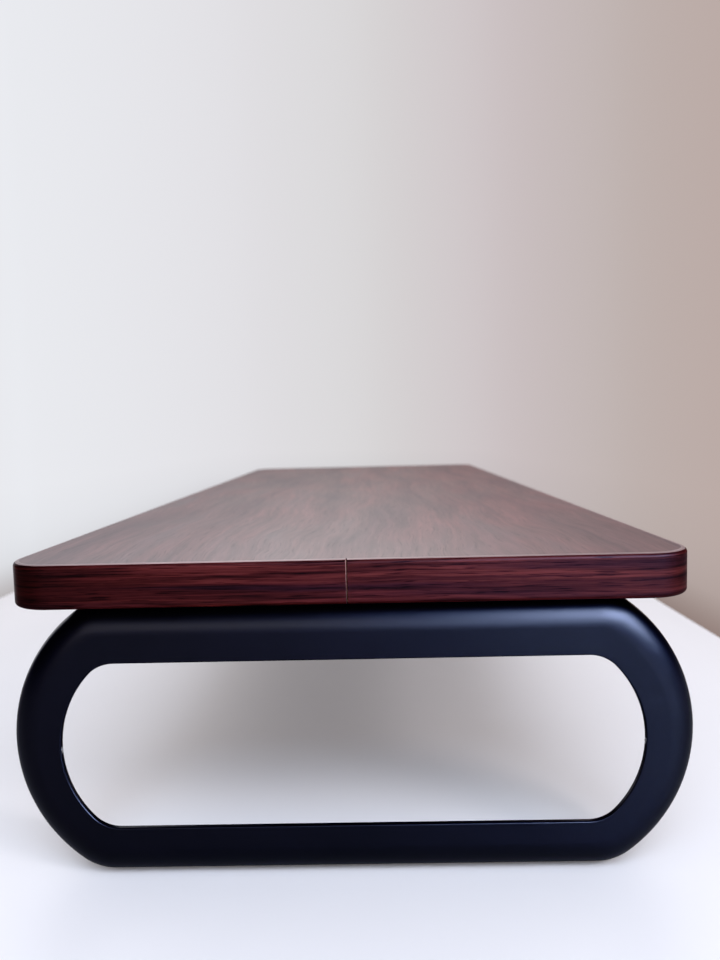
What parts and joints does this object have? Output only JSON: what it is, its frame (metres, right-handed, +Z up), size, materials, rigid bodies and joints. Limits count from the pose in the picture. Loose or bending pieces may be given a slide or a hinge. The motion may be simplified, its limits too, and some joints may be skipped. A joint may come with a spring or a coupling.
{
  "type": "monitor riser stand",
  "caption": "Low desk shelf that lifts a monitor: a woodgrain board on moulded loop legs, with room under it for a keyboard.",
  "frame": {"origin": "centre of the footprint, on the desk under the foot pads", "axes": "+X along the board, towards the end that has the edge band's seam; +Y to the back; +Z up"},
  "size_m": [0.55, 0.236, 0.112],
  "materials": {
    "core_board": "raw fibreboard, unseen once edged",
    "woodgrain_laminate": "dark reddish-brown printed woodgrain, satin",
    "backing_laminate": "plain dark brown backing, matt",
    "woodgrain_edge_band": "dark reddish-brown printed woodgrain, satin",
    "leg_plastic": "black, fine satin texture",
    "screw_steel": "black zinc plate",
    "insert_brass": "machined",
    "foot_rubber": "matt"
  },
  "bodies": {
    "root": {"board_core": "core_board", "top_laminate": "woodgrain_laminate", "bottom_laminate": "backing_laminate", "edge_band": "woodgrain_edge_band", "right_leg": "leg_plastic", "left_leg": "leg_plastic", "right_leg_screws": "screw_steel", "left_leg_screws": "screw_steel", "right_threaded_inserts": "insert_brass", "left_threaded_inserts": "insert_brass", "right_front_foot_pad": "foot_rubber", "right_back_foot_pad": "foot_rubber", "left_front_foot_pad": "foot_rubber", "left_back_foot_pad": "foot_rubber"}
  },
  "joints": []
}
